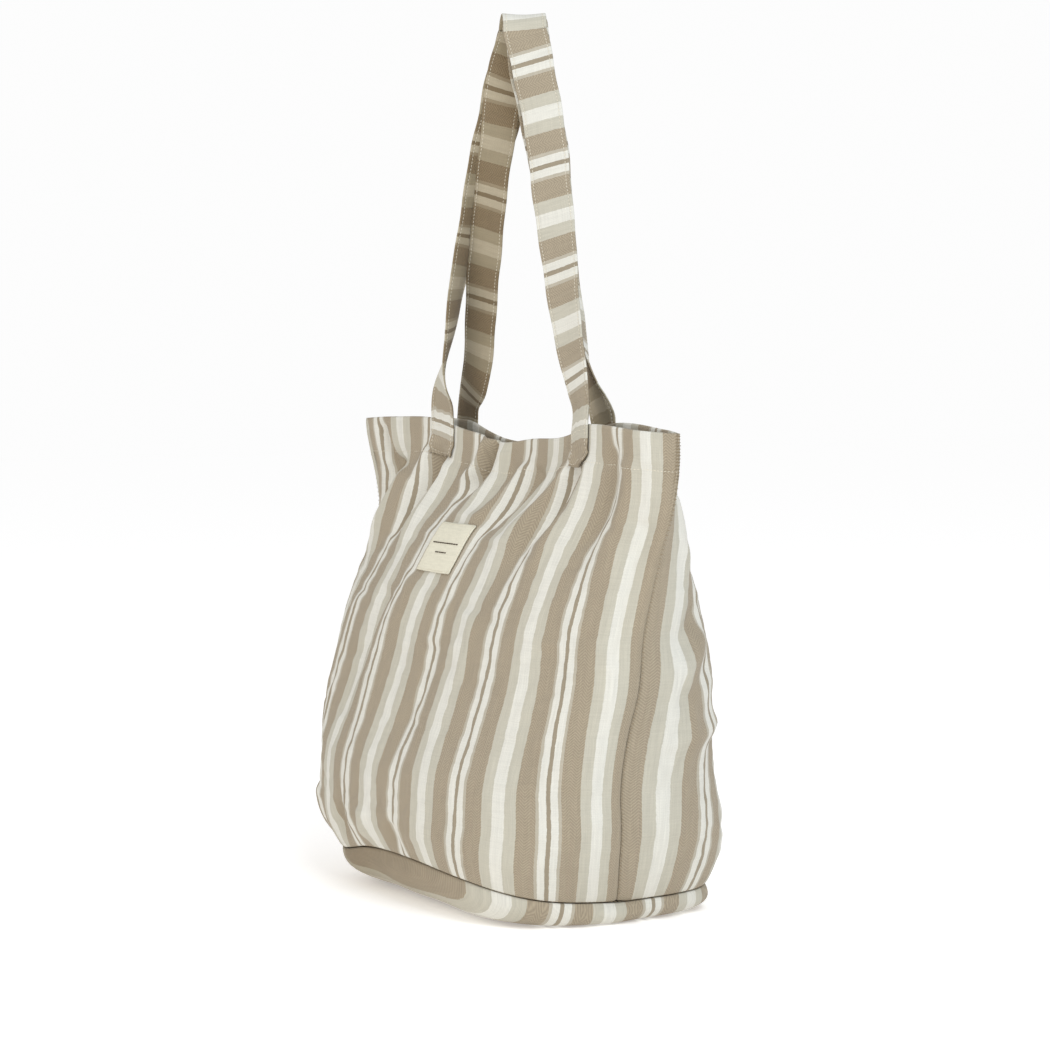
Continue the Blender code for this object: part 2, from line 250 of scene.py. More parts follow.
# The legs of the straps, from the tab (0) to the hook (1): place along, x, y, and the plan angle of the
# strap's width in degrees
FRONT_RIGHT_LEG = (
    (0.0, 0.1170, -0.0125, -8), (0.09, 0.1080, -0.0125, -5), (0.16, 0.1000, -0.0124, 2),
    (0.27, 0.0890, -0.0118, 9), (0.39, 0.0770, -0.0110, 18), (0.545, 0.0605, -0.0077, 29),
    (0.70, 0.0445, -0.0056, 33), (0.84, 0.0300, -0.0045, 38), (0.93, 0.0205, -0.0055, 45),
    (1.0, 0.0120, -0.0070, 55),
)
FRONT_LEFT_LEG = (
    (0.0, -0.1170, -0.0125, 182), (0.067, -0.1110, -0.0180, 174), (0.12, -0.1050, -0.0205, 158),
    (0.225, -0.0955, -0.0185, 141), (0.38, -0.0853, -0.0150, 128), (0.50, -0.0797, -0.0075, 112),
    (0.63, -0.0670, -0.0030, 95), (0.75, -0.0510, 0.0005, 66), (0.875, -0.0330, 0.0005, 54),
    (0.95, -0.0200, 0.0020, 54), (1.0, -0.0120, 0.0025, 55),
)
BACK_LEFT_LEG = (
    (0.0, -0.1245, 0.0125, -6), (0.05, -0.1160, 0.0105, -2), (0.11, -0.1010, 0.0075, 6),
    (0.185, -0.0910, 0.0055, 13), (0.27, -0.0830, 0.0040, 16), (0.40, -0.0710, 0.0005, 19),
    (0.60, -0.0510, -0.0030, 19), (0.74, -0.0380, -0.0050, 23), (0.875, -0.0250, -0.0050, 36),
    (0.95, -0.0150, -0.0015, 48), (1.0, -0.0090, 0.0005, 55),
)
BACK_RIGHT_LEG = (
    (0.0, 0.1010, 0.0125, 180), (0.07, 0.0960, 0.0110, 172), (0.13, 0.0910, 0.0090, 156),
    (0.27, 0.0780, 0.0050, 137), (0.39, 0.0615, 0.0050, 128), (0.545, 0.0430, 0.0070, 108),
    (0.70, 0.0270, 0.0050, 68), (0.84, 0.0150, 0.0030, 56), (0.93, 0.0110, -0.0020, 55),
    (1.0, 0.0090, -0.0040, 55),
)
LEGS = {FRONT: (FRONT_RIGHT_LEG, FRONT_LEFT_LEG), BACK: (BACK_LEFT_LEG, BACK_RIGHT_LEG)}

# How the cloth relaxes into its small folds: how much it grows, how loosely it is held, how far it may move
GROWTH = 0.034
LOOSENESS = 0.62
MOST_MOVED = 0.006
RELAXING_STEPS = 18

COLUMNS = 96
ROWS = 80


def smooth(value):
    value = np.clip(value, 0.0, 1.0)
    return value * value * (3 - 2 * value)


def through(keys, at):
    """Rows of values on a smooth curve through keys, whose first column is the place along it."""
    keys = np.array(keys, dtype=float)
    at = np.asarray(at, dtype=float)
    places = keys[:, 0]
    slopes = np.gradient(keys, places, axis=0)
    below = np.clip(np.searchsorted(places, at, side="right") - 1, 0, len(places) - 2)
    step = (places[below + 1] - places[below])[..., None]
    t = np.clip((at - places[below])[..., None] / step, 0, 1)
    values = (
        (2 * t**3 - 3 * t**2 + 1) * keys[below]
        + (t**3 - 2 * t**2 + t) * step * slopes[below]
        + (3 * t**2 - 2 * t**3) * keys[below + 1]
        + (t**3 - t**2) * step * slopes[below + 1]
    )
    return values[..., 1:]


def unit(vectors):
    return vectors / np.linalg.norm(vectors, axis=-1, keepdims=True)


def srgb(red, green, blue):
    """A colour given as it looks, from 0 to 255, as the linear value that a shader takes."""
    return tuple(((part / 255 + 0.055) / 1.055) ** 2.4 for part in (red, green, blue))


def add_object(name, mesh):
    obj = bpy.data.objects.new(name, mesh)
    bpy.context.collection.objects.link(obj)
    return obj


def grid_faces(rows, columns, flip=False, closed=False):
    """Faces of a grid of rows x columns points, whose last column may join its first."""
    faces = []
    for row in range(rows - 1):
        for column in range(columns if closed else columns - 1):
            following = (column + 1) % columns
            quad = (
                row * columns + column,
                row * columns + following,
                (row + 1) * columns + following,
                (row + 1) * columns + column,
            )
            faces.append(quad[::-1] if flip else quad)
    return faces


def mesh_of(name, points, faces, cloth_uv=None):
    """A smooth mesh, with the cloth's own measures as its UV map."""
    mesh = bpy.data.meshes.new(name)
    mesh.from_pydata(np.asarray(points).reshape(-1, 3).tolist(), [], faces)
    if cloth_uv is not None:
        layer = mesh.uv_layers.new(name="cloth")
        corners = np.zeros(len(mesh.loops), dtype=int)
        mesh.loops.foreach_get("vertex_index", corners)
        layer.data.foreach_set("uv", np.asarray(cloth_uv).reshape(-1, 2)[corners].ravel())
    mesh.shade_smooth()
    return mesh


# The walls


def superellipse_half(half_width, half_depth, squareness, fractions):
    """Points spread evenly along half of a superellipse, from -X to +X, bulging to +Y."""
    angles = np.linspace(math.pi, 0, 361)
    power = 2 / squareness
    x = half_width * np.sign(np.cos(angles)) * np.abs(np.cos(angles)) ** power
    y = half_depth * np.abs(np.sin(angles)) ** power
    lengths = np.concatenate([[0], np.cumsum(np.hypot(np.diff(x), np.diff(y)))])
    wanted = np.asarray(fractions) * lengths[-1]
    return np.interp(wanted, lengths, x), np.interp(wanted, lengths, y)


def row_heights():
    """Heights of the grid's rows, spread evenly along the wall's profile."""
    heights = np.linspace(BASE_SEAM, RIM, 400)
    depths = through(SECTIONS, heights)[:, 1]
    lengths = np.concatenate([[0], np.cumsum(np.hypot(np.diff(heights), np.diff(depths)))])
    return np.interp(np.linspace(0, lengths[-1], ROWS + 1), lengths, heights)


def wall_form(side):
    """The smooth filled form of a wall, as rows of points from the base seam to the rim."""
    shares = np.linspace(-1, 1, COLUMNS + 1)
    rim = through(FRONT_RIM if side == FRONT else BACK_RIM, shares)
    seam_height = through(SEAM_HEIGHTS, shares)[:, 0 if side == FRONT else 1]
    rows = []
    for height in row_heights():
        half_width, front_depth, back_depth, squareness, lens = through(SECTIONS, height)
        half_depth = front_depth if side == FRONT else back_depth
        to_right, seam_lean = through(LEAN, height)
        round_x, round_y = superellipse_half(half_width, half_depth, squareness, (shares + 1) / 2)
        x = to_right + (1 - lens) * round_x + lens * half_width * shares
        y = side * ((1 - lens) * round_y + lens * half_depth * (1 - shares**2))
        y += seam_lean * shares**4
        to_rim = smooth((height - 0.300) / (RIM - 0.300))
        to_base = 1 - smooth((height - BASE_SEAM) / 0.090)
        x = (1 - to_rim) * x + to_rim * rim[:, 0]
        y = (1 - to_rim) * y + to_rim * rim[:, 1]
        z = height + to_rim * (rim[:, 2] - RIM) + to_base * (seam_height - BASE_SEAM)
        rows.append(np.stack([x, y, z], axis=1))
    return np.array(rows)


def give_thickness(obj, thickness):
    """Smooths a sheet's middle surface and gives it the thickness of its cloth."""
    smoothing = obj.modifiers.new("smooth", "SUBSURF")
    smoothing.levels = 1
    smoothing.render_levels = 1
    solid = obj.modifiers.new("thickness", "SOLIDIFY")
    solid.thickness = thickness
    solid.offset = 0


def normals_of(points, side):
    along = np.gradient(points, axis=1)
    up = np.gradient(points, axis=0)
    return unit(np.cross(along, up)) * (1 if side == FRONT else -1)


class Wall:
    """A wall as a grid of points, read at places in cloth measures."""

    def __init__(self, side, points):
        self.side = side
        self.points = points
        self.normals = normals_of(points, side)

    def at(self, across, up, out=0.0):
        """Points this far across, up and out of the middle of the cloth. They may lie past its edges."""
        across, up = np.broadcast_arrays(np.asarray(across, float), np.asarray(up, float))
        column = (1 - across / PANEL_WIDTH) * COLUMNS
        row = up / WALL_HEIGHT * ROWS
        i = np.clip(np.floor(row).astype(int), 0, ROWS - 1)
        j = np.clip(np.floor(column).astype(int), 0, COLUMNS - 1)
        fi = (row - i)[..., None]
        fj = (column - j)[..., None]

        def mixed(grid):
            lower = grid[i, j] * (1 - fj) + grid[i, j + 1] * fj
            upper = grid[i + 1, j] * (1 - fj) + grid[i + 1, j + 1] * fj
            return lower * (1 - fi) + upper * fi

        return mixed(self.points) + unit(mixed(self.normals)) * np.asarray(out)[..., None]

    def across_at_x(self, up, x):
        """How far across the cloth a row reaches an x."""
        acrosses = np.linspace(PANEL_WIDTH, 0, 301)
        xs = self.at(acrosses, np.full_like(acrosses, up))[:, 0]
        return float(np.interp(x, xs, acrosses))


def fold_depths(folds, across, up):
    """How far the folds move each place of the cloth outwards."""
    depth = np.zeros_like(across)
    for path, half_width, height in folds:
        path = np.array(path)
        best = np.full_like(across, 1e9)
        place = np.zeros_like(across)
        for index in range(len(path) - 1):
            start, step = path[index], path[index + 1] - path[index]
            t = np.clip(((across - start[0]) * step[0] + (up - start[1]) * step[1]) / (step @ step), 0, 1)
            distance = np.hypot(across - start[0] - t * step[0], up - start[1] - t * step[1])
            nearer = distance < best
            best = np.where(nearer, distance, best)
            place = np.where(nearer, (index + t) / (len(path) - 1), place)
        ends = smooth(place / 0.12 + 0.35) * smooth((1 - place) / 0.45)
        widening = half_width * (0.8 + 0.7 * place)
        depth += FOLD_STRENGTH * height * ends * np.exp(-((best / widening) ** 2))
    return depth


def relax(obj, held):
    """Lets the cloth find its own small folds, held near its form, and returns its points."""
    group = obj.vertex_groups.new(name="held")
    for index, weight in enumerate(held):
        group.add([index], float(weight), "REPLACE")
    modifier = obj.modifiers.new("cloth", "CLOTH")
    cloth = modifier.settings
    cloth.quality = 6
    cloth.mass = 0.06
    cloth.air_damping = 6
    cloth.tension_stiffness = 14
    cloth.compression_stiffness = 14
    cloth.shear_stiffness = 6
    cloth.bending_stiffness = 0.06
    cloth.vertex_group_mass = "held"
    cloth.pin_stiffness = 0.9
    cloth.shrink_min = -GROWTH
    cloth.effector_weights.gravity = 0
    modifier.collision_settings.use_collision = False
    modifier.point_cache.frame_start = 1
    modifier.point_cache.frame_end = RELAXING_STEPS
    for step in range(1, RELAXING_STEPS + 1):
        bpy.context.scene.frame_set(step)
    shape = obj.evaluated_get(bpy.context.evaluated_depsgraph_get()).to_mesh()
    points = np.zeros(len(shape.vertices) * 3)
    shape.vertices.foreach_get("co", points)
    obj.modifiers.remove(modifier)
    bpy.context.scene.frame_set(1)
    return points.reshape(-1, 3)


def under_label(across, up):
    """1 under the label, falling to 0 a little way round it."""
    beside = np.maximum(np.abs(across - LABEL_ACROSS) / LABEL_SIZE[0], np.abs(up - LABEL_UP) / LABEL_SIZE[1])
    return 1 - smooth((beside - 0.48) / 0.22)


def make_wall(side, folds):
    """A wall's form with its folds, relaxed as cloth that is sewn along its edges."""
    form = wall_form(side)
    across = PANEL_WIDTH * (1 - np.linspace(0, 1, COLUMNS + 1))
    up = WALL_HEIGHT * np.linspace(0, 1, ROWS + 1)
    across, up = np.meshgrid(across, up)
    depth = fold_depths(folds, across, up)
    from_seam = np.minimum(across, PANEL_WIDTH - across)
    depth *= smooth(from_seam / 0.012)
    if side == FRONT:
        depth *= 1 - 0.9 * under_label(across, up)
    points = form + normals_of(form, side) * depth[..., None]
    faces = grid_faces(ROWS + 1, COLUMNS + 1, side == BACK)
    sheet = add_object("relaxing", mesh_of("relaxing", points, faces))
    edge = np.minimum(from_seam, np.minimum(up, WALL_HEIGHT - up))
    held = 1 - LOOSENESS * smooth(edge / 0.030)
    if side == FRONT:
        held = np.maximum(held, under_label(across, up))
    relaxed = relax(sheet, held.ravel()).reshape(points.shape)
    moved = relaxed - points
    far = np.linalg.norm(moved, axis=-1, keepdims=True)
    points = points + moved * np.minimum(1, MOST_MOVED / np.maximum(far, 1e-9))
    bpy.data.objects.remove(sheet)
    return Wall(side, points)


def finish_wall(wall, name):
    """The sewn wall as cloth: its side and base edges turned in, and its hem folded over inside."""
    cell = PANEL_WIDTH / COLUMNS
    extras = [-SEAM_ALLOWANCE, -0.0015, 0.0, 0.0012, 0.0030]
    inner = list(np.arange(1, COLUMNS) * cell)
    across = np.array(extras + inner[1:-1] + [PANEL_WIDTH - place for place in reversed(extras)])
    row = WALL_HEIGHT / ROWS
    up = np.array([-0.005, -0.0012, 0.0, 0.0012, 0.0030] + list(np.arange(2, ROWS + 1) * row - 0.0004))
    seam_distance = np.clip(np.minimum(across, PANEL_WIDTH - across), 0, None)
    grid_across, grid_up = np.meshgrid(np.clip(across, 0, PANEL_WIDTH), np.clip(up, 0, None))
    side_inset = 0.0020 * np.exp(-seam_distance / 0.0035)
    base_inset = 0.0016 * np.exp(-np.clip(up, 0, None) / 0.0035)
    inset = side_inset[None, :] + base_inset[:, None]
    hem_groove = 0.0007 * np.exp(-(((up - WALL_HEIGHT + HEM_LINE) / 0.0022) ** 2))
    hem_plump = 0.0006 * smooth((up - WALL_HEIGHT + HEM_DEPTH) / 0.003)
    outer = wall.at(grid_across, grid_up, hem_plump[:, None] - hem_groove[:, None] - inset)
    # the seam allowances, turned in at the sides and at the base
    turned = np.clip(-np.minimum(across, PANEL_WIDTH - across), 0, None)
    sign = np.where(across < PANEL_WIDTH / 2, -1.0, 1.0)
    outer[:, :, 0] += (sign * turned)[None, :]
    near_seam = np.exp(-seam_distance / 0.002)
    outer[:, :, 1] += wall.side * SEAM_GAP * near_seam[None, :]
    tuck = np.clip(-up, 0, None)[:, None]
    nearest = np.rint((1 - grid_across[0] / PANEL_WIDTH) * COLUMNS).astype(int)
    inward = wall.normals[0][np.clip(nearest, 0, COLUMNS)]
    outer[:, :, :2] -= unit(inward[:, :2])[None] * tuck[..., None]
    outer[:, :, 2] += SEAM_GAP * np.exp(-np.clip(up, 0, None) / 0.002)[:, None]
    # the hem, folded over at the rim and kept short of the side seams
    cloth_places = [-SEAM_ALLOWANCE, 0.030, PANEL_WIDTH - 0.030, PANEL_WIDTH + SEAM_ALLOWANCE]
    hem_places = [0.010, 0.030, PANEL_WIDTH - 0.030, PANEL_WIDTH - 0.010]
    hem_across = np.interp(across, cloth_places, hem_places)
    rows = [outer]
    hem_ups = [up[-1]]
    hem_rows = [(-0.0006, -0.0007)] + [(place, -0.0016) for place in np.linspace(0.0006, HEM_DEPTH, 11)]
    for drop, out in hem_rows:
        side_share = smooth((drop + 0.0006) / 0.004)
        places = side_share * hem_across + (1 - side_share) * grid_across[0]
        line = wall.at(places, np.full_like(places, WALL_HEIGHT - 0.0004 - drop), out + 0.0006)
        line[:, 0] += (1 - side_share) * sign * turned
        line[:, 1] += (1 - side_share) * wall.side * SEAM_GAP * near_seam
        rows.append(line[None])
        hem_ups.append(up[-1] + 0.001 + drop)
    points = np.concatenate(rows)
    all_up = np.concatenate([up, hem_ups[1:]])
    cloth_uv = np.stack(np.meshgrid(across, all_up), axis=-1)
    faces = grid_faces(len(all_up), len(across), flip=wall.side == FRONT)
    obj = add_object(name, mesh_of(name, points, faces, cloth_uv))
    give_thickness(obj, CLOTH)
    return obj


# The base


def make_base(front, back):
    """The base panel: it hangs from the base seam, tucks under and rests on what the bag stands on."""
    shares = np.linspace(-1, 1, COLUMNS + 1)
    across = PANEL_WIDTH * (1 - shares) / 2
    returning = across[-2:0:-1]
    outline = np.concatenate([front.at(across, 0 * across), back.at(returning, 0 * returning)])
    tucks = np.concatenate([through(TUCKS, shares)[:, 0], through(TUCKS, shares[-2:0:-1])[:, 1]])
    centre_line = np.stack([outline[:, 0] * 0.45, 0 * outline[:, 1], 0 * outline[:, 2]], axis=1)
    inward = centre_line - outline
    inward[:, 2] = 0
    room = np.linalg.norm(inward, axis=1)
    inward = inward / room[:, None]
    seam_z = outline[:, 2] - SEAM_GAP
    rest = CLOTH / 2 + 0.0002
    rings = []
    for depth in (0.0055, 0.0015):
        ring = outline + inward * depth
        ring[:, 2] = seam_z
        rings.append(ring)
    around = np.arange(len(outline))
    for turn in np.radians((0, 14, 28, 42, 56, 68, 78, 90)):
        ring = outline + inward * (0.0012 + tucks * (1 - math.cos(turn)))[:, None]
        ring[:, 2] = rest + (seam_z - rest) * (1 - math.sin(turn))
        ripple = np.sin(around * 0.19 + 1.3) * np.sin(around * 0.083 + 2.0 * turn)
        ring -= inward * (BASE_BELLY * math.sin(2 * turn) * (1 + ripple))[:, None]
        rings.append(ring)
    for share in np.linspace(0, 1, 9)[1:]:
        edge = np.minimum(0.0012 + tucks, room)
        ring = outline + inward * (edge + (room - edge) * share)[:, None]
        ring[:, 2] = rest
        rings.append(ring)
    points = np.array(rings)
    cloth_uv = np.stack([points[:, :, 1] + 0.0120, points[:, :, 0] + 0.2], axis=-1)
    faces = grid_faces(len(rings), len(outline), closed=True)
    mesh = mesh_of("base_cloth", points, faces, cloth_uv)
    work = bmesh.new()
    work.from_mesh(mesh)
    middle = [vertex for vertex in work.verts if vertex.index >= (len(rings) - 1) * len(outline)]
    bmesh.ops.remove_doubles(work, verts=middle, dist=0.0001)
    bmesh.ops.recalc_face_normals(work, faces=work.faces)
    work.to_mesh(mesh)
    work.free()
    obj = add_object("base_cloth", mesh)
    give_thickness(obj, CLOTH)
    return obj


# The straps

# Half of a strap's section, from its middle to its edge: place across the width, height over its middle
HALF_SECTION = (
    (0.0, 0.00120), (0.0060, 0.00120), (0.0120, 0.00118), (0.0142, 0.00112), (0.0150, 0.00072),
    (0.0158, 0.00108), (0.0170, 0.00100), (0.0177, 0.00062),
)


def strap_section():
    """The closed section of a strap, going round from the middle of its outer face."""
    right = list(HALF_SECTION)
    outer = right + [(0.0180, 0.0)]
    inner = [(w, -h) for w, h in reversed(right)]
    left_inner = [(-w, -h) for w, h in right[1:]]
    left_outer = [(-w, h) for w, h in reversed(right[1:])]
    return np.array(outer + inner + left_inner + [(-0.0180, 0.0)] + left_outer)


def leg_points(side, leg, count):
    """Middle line and width direction of one leg, from its tab up to the hook."""
    t = np.linspace(0, 1, count)
    x, y, degrees = through(leg, t).T
    turn = np.radians(degrees) + (math.pi if side == BACK else 0)
    z = LEG_FOOT + t * (HOOK_FOOT - LEG_FOOT)
    width = np.stack([np.cos(turn), np.sin(turn), 0 * turn], axis=1)
    return np.stack([x, y, z], axis=1), width


def strap_path(side):
    """Middle line and width direction of a strap, from one leg over the hook to the other."""
    first_leg, second_leg = LEGS[side]
    up_line, up_width = leg_points(side, first_leg, 120)
    down_line, down_width = leg_points(side, second_leg, 120)
    start, end = up_line[-1], down_line[-1]
    angles = np.linspace(0, math.pi, 24)[1:-1]
    rise = np.array([0, 0, HOOK_RISE[side]])
    arc = (start + end) / 2 + np.cos(angles)[:, None] * (start - end) / 2 + np.sin(angles)[:, None] * rise
    arc_width = np.repeat(up_width[-1:], len(arc), axis=0)
    line = np.concatenate([up_line, arc, down_line[::-1]])
    width = np.concatenate([up_width, arc_width, down_width[::-1]])
    return line, width


def strap_stripes(side, along):
    """Where each place along a strap lies on its striped cloth. The tabs are cut within a tan stripe."""
    length = along[-1]
    if side == BACK:
        stripes = along + 0.018
    else:
        # the left leg comes down to the rim on a dark line
        rim = length - TAB_DEPTH
        line = STRAP_DARK_LINE + round((rim - STRAP_DARK_LINE) / STRAP_REPEAT) * STRAP_REPEAT
        stripes = along + (line - rim) * smooth(2 * along / length - 1)
    last = stripes[-1] - TAB_DEPTH
    tab_tan = STRAP_DARK_LINE - 0.0565
    first_tab = tab_tan - 0.45 * (TAB_DEPTH - along)
    last_depth = along - length + TAB_DEPTH
    if side == FRONT:
        last_tab = last + np.minimum(last_depth, 0.009) + 0.55 * np.maximum(last_depth - 0.009, 0)
    else:
        last_tab = tab_tan - 0.45 * last_depth
    stripes = np.where(along < TAB_DEPTH, first_tab, stripes)
    return np.where(last_depth > 0, last_tab, stripes)


def tab_middle(wall, hand):
    """How far across the wall the middle of its left (-1) or right (1) tab lies."""
    return wall.across_at_x(WALL_HEIGHT - TAB_MIDDLE, TAB_X[wall.side][hand > 0])


def make_strap(side, wall, name):
    """A strap with its two sewn tabs: rings along one tab and leg, over the hook and down the other."""
    section = strap_section()
    line, width = strap_path(side)
    tangent = unit(np.gradient(line, axis=0))
    width = unit(width - (width * tangent).sum(axis=1)[:, None] * tangent)
    normal = np.cross(width, tangent)
    lengths = np.concatenate([[0], np.cumsum(np.linalg.norm(np.diff(line, axis=0), axis=1))])
    sway = 0.0005 * np.sin(lengths * 61 + side) + 0.0004 * np.sin(lengths * 137 + 1.7)
    cup = 0.0011 * np.sin(lengths * 23 + 0.6 * side)
    w = section[:, 0]
    h = section[:, 1]
    bend = ((w / 0.018) ** 2)[None, :] * cup[:, None]
    rings = line[:, None] + width[:, None] * (w[None, :, None] + sway[:, None, None])
    rings = rings + normal[:, None] * (h[None, :] + bend)[..., None]
    ends = []
    for end, hand in ((0, -side), (1, side)):
        tab_across = tab_middle(wall, hand)
        across = tab_across - w * hand
        base_out = CLOTH / 2 + STRAP_HALF + TAB_GAP
        foot = line[0 if end == 0 else -1][2]
        order = range(len(line)) if end == 0 else range(len(line) - 1, -1, -1)
        for index in order:
            rise = line[index][2] - foot
            if rise > LEG_CURVE_HEIGHT:
                break
            above = WALL_HEIGHT + 0.001 + rise
            flat = wall.at(across, np.full_like(across, above), base_out + h)
            share = smooth(rise / LEG_CURVE_HEIGHT)
            rings[index] = (1 - share) * flat + share * rings[index]
        tab = []
        foot_up = WALL_HEIGHT - TAB_DEPTH
        for up in [foot_up, *np.linspace(foot_up + 0.0005, WALL_HEIGHT - 0.001, 14)]:
            tab.append(wall.at(across, np.full_like(across, up), base_out + h))
        end_up = np.full_like(across, foot_up - 0.0003)
        cap = wall.at(tab_across + (across - tab_across) * 0.995, end_up, base_out + h * 0.6)
        ends.append(np.array([cap] + tab))
    first = ends[0]
    last = ends[1][::-1]
    points = np.concatenate([first, rings, last])
    middle = points[:, 0]
    steps = np.linalg.norm(np.diff(middle, axis=0), axis=1)
    along = np.concatenate([[0], np.cumsum(steps)])
    count = len(section)
    inner = (np.arange(count) > count // 4) & (np.arange(count) < 3 * count // 4 + 1)
    across_uv = w + 0.05 + np.where(inner, 0.2, 0.0)
    stripes = strap_stripes(side, along)
    cloth_uv = np.stack(
        [np.repeat(stripes[:, None], count, axis=1), np.repeat(across_uv[None], len(along), axis=0)], axis=-1
    )
    faces = grid_faces(len(points), count, closed=True)
    faces.append(tuple(range(count))[::-1])
    faces.append(tuple(range((len(points) - 1) * count, len(points) * count)))
    obj = add_object(name, mesh_of(name, points, faces, cloth_uv))
    fix_normals(obj)
    return obj, points, section, along


def fix_normals(obj):
    work = bmesh.new()
    work.from_mesh(obj.data)
    bmesh.ops.recalc_face_normals(work, faces=work.faces)
    work.to_mesh(obj.data)
    work.free()


# Thread


def set_inputs(modifier, values):
    for item in modifier.node_group.interface.items_tree:
        if getattr(item, "in_out", "") == "INPUT" and item.name in values:
            modifier[item.identifier] = values[item.name]


def new_tree(name, sizes):
    tree = bpy.data.node_groups.new(name, "GeometryNodeTree")
    tree.interface.new_socket("Lines", in_out="INPUT", socket_type="NodeSocketGeometry")
    for label, value in sizes:
        socket = tree.interface.new_socket(label, in_out="INPUT", socket_type="NodeSocketFloat")
        socket.default_value = value
    tree.interface.new_socket("Finish", in_out="INPUT", socket_type="NodeSocketMaterial")
    tree.interface.new_socket("Thread", in_out="OUTPUT", socket_type="NodeSocketGeometry")
    return tree


def link(tree, *pairs):
    for start, end in pairs:
        tree.links.new(start, end)


def finish_thread(tree, inputs, stitches):
    """Makes the stitches real and gives them the thread's finish."""
    real = tree.nodes.new("GeometryNodeRealizeInstances")
    finish = tree.nodes.new("GeometryNodeSetMaterial")
    outputs = tree.nodes.new("NodeGroupOutput")
    link(
        tree,
        (stitches, real.inputs[0]),
        (real.outputs[0], finish.inputs["Geometry"]),
        (inputs.outputs["Finish"], finish.inputs["Material"]),
        (finish.outputs[0], outputs.inputs[0]),
    )
    return tree


def running_stitch_tree():
    """Stitches along lines: a small plump bead of thread at each step, lying along the line."""
    tree = new_tree("running_stitch", (("Step", 0.003), ("Length", 0.0022), ("Thickness", 0.0006)))
    nodes = tree.nodes
    inputs = nodes.new("NodeGroupInput")
    curve = nodes.new("GeometryNodeMeshToCurve")
    even = nodes.new("GeometryNodeResampleCurve")
    even.mode = "LENGTH"
    bead = nodes.new("GeometryNodeMeshUVSphere")
    bead.inputs["Segments"].default_value = 6
    bead.inputs["Rings"].default_value = 5
    bead.inputs["Radius"].default_value = 0.5
    size = nodes.new("ShaderNodeCombineXYZ")
    shape = nodes.new("GeometryNodeTransform")
    tangent = nodes.new("GeometryNodeInputTangent")
    turn = nodes.new("FunctionNodeAlignRotationToVector")
    turn.axis = "Z"
    put = nodes.new("GeometryNodeInstanceOnPoints")
    soft = nodes.new("GeometryNodeSetShadeSmooth")
    link(
        tree,
        (inputs.outputs["Lines"], curve.inputs[0]),
        (curve.outputs[0], even.inputs["Curve"]),
        (inputs.outputs["Step"], even.inputs["Length"]),
        (inputs.outputs["Thickness"], size.inputs[0]),
        (inputs.outputs["Thickness"], size.inputs[1]),
        (inputs.outputs["Length"], size.inputs[2]),
        (bead.outputs["Mesh"], shape.inputs["Geometry"]),
        (size.outputs[0], shape.inputs["Scale"]),
        (tangent.outputs[0], turn.inputs["Vector"]),
        (even.outputs[0], put.inputs["Points"]),
        (turn.outputs[0], put.inputs["Rotation"]),
        (shape.outputs[0], soft.inputs[0]),
        (soft.outputs[0], put.inputs["Instance"]),
    )
    return finish_thread(tree, inputs, put.outputs[0])


def whip_stitch_tree():
    """A round thread laid along each short line."""
    tree = new_tree("whip_stitch", (("Thickness", 0.0006),))
    nodes = tree.nodes
    inputs = nodes.new("NodeGroupInput")
    curve = nodes.new("GeometryNodeMeshToCurve")
    ring = nodes.new("GeometryNodeCurvePrimitiveCircle")
    ring.inputs["Resolution"].default_value = 6
    half = nodes.new("ShaderNodeMath")
    half.operation = "MULTIPLY"
    half.inputs[1].default_value = 0.5
    tube = nodes.new("GeometryNodeCurveToMesh")
    tube.inputs["Fill Caps"].default_value = True
    link(
        tree,
        (inputs.outputs["Lines"], curve.inputs[0]),
        (inputs.outputs["Thickness"], half.inputs[0]),
        (half.outputs[0], ring.inputs["Radius"]),
        (curve.outputs[0], tube.inputs["Curve"]),
        (ring.outputs[0], tube.inputs["Profile Curve"]),
    )
    return finish_thread(tree, inputs, tube.outputs[0])


def sew(name, tree, lines, finish, **sizes):
    """Thread along lines of points, as one plain mesh."""
    points = []
    edges = []
    for line in lines:
        first = len(points)
        points.extend(np.asarray(line).tolist())
        edges.extend((first + step, first + step + 1) for step in range(len(line) - 1))
    guide_mesh = bpy.data.meshes.new(name + "_guide")
    guide_mesh.from_pydata(points, edges, [])
    guide = add_object(name + "_guide", guide_mesh)
    modifier = guide.modifiers.new("thread", "NODES")
    modifier.node_group = tree
    set_inputs(modifier, {"Finish": finish, **sizes})
    graph = bpy.context.evaluated_depsgraph_get()
    mesh = bpy.data.meshes.new_from_object(guide.evaluated_get(graph))
    mesh.name = name
    bpy.data.objects.remove(guide)
    obj = add_object(name, mesh)
    obj.data.materials.clear()
    obj.data.materials.append(finish)
    return obj


# Finishes

DARK = srgb(142, 131, 112)
THIN = srgb(168, 160, 144)
WHITE = srgb(202, 199, 189)
TAN = srgb(158, 145, 124)
GREY = srgb(177, 172, 157)
# One repeat of the stripes from the middle of a dark line to the next one: width in millimetres, colour
STRIPES = (
    (1.7, DARK), (6.3, WHITE), (2.6, THIN), (15.8, TAN), (9.6, GREY), (11.0, WHITE),
    (9.6, GREY), (15.8, TAN), (2.6, THIN), (6.3, WHITE), (1.7, DARK),
)
# Painted shade for a strap's under face, which faces down away from the light: a darker, browner multiplier
UNDER_FACE_SHADE = (0.62, 0.55, 0.44)


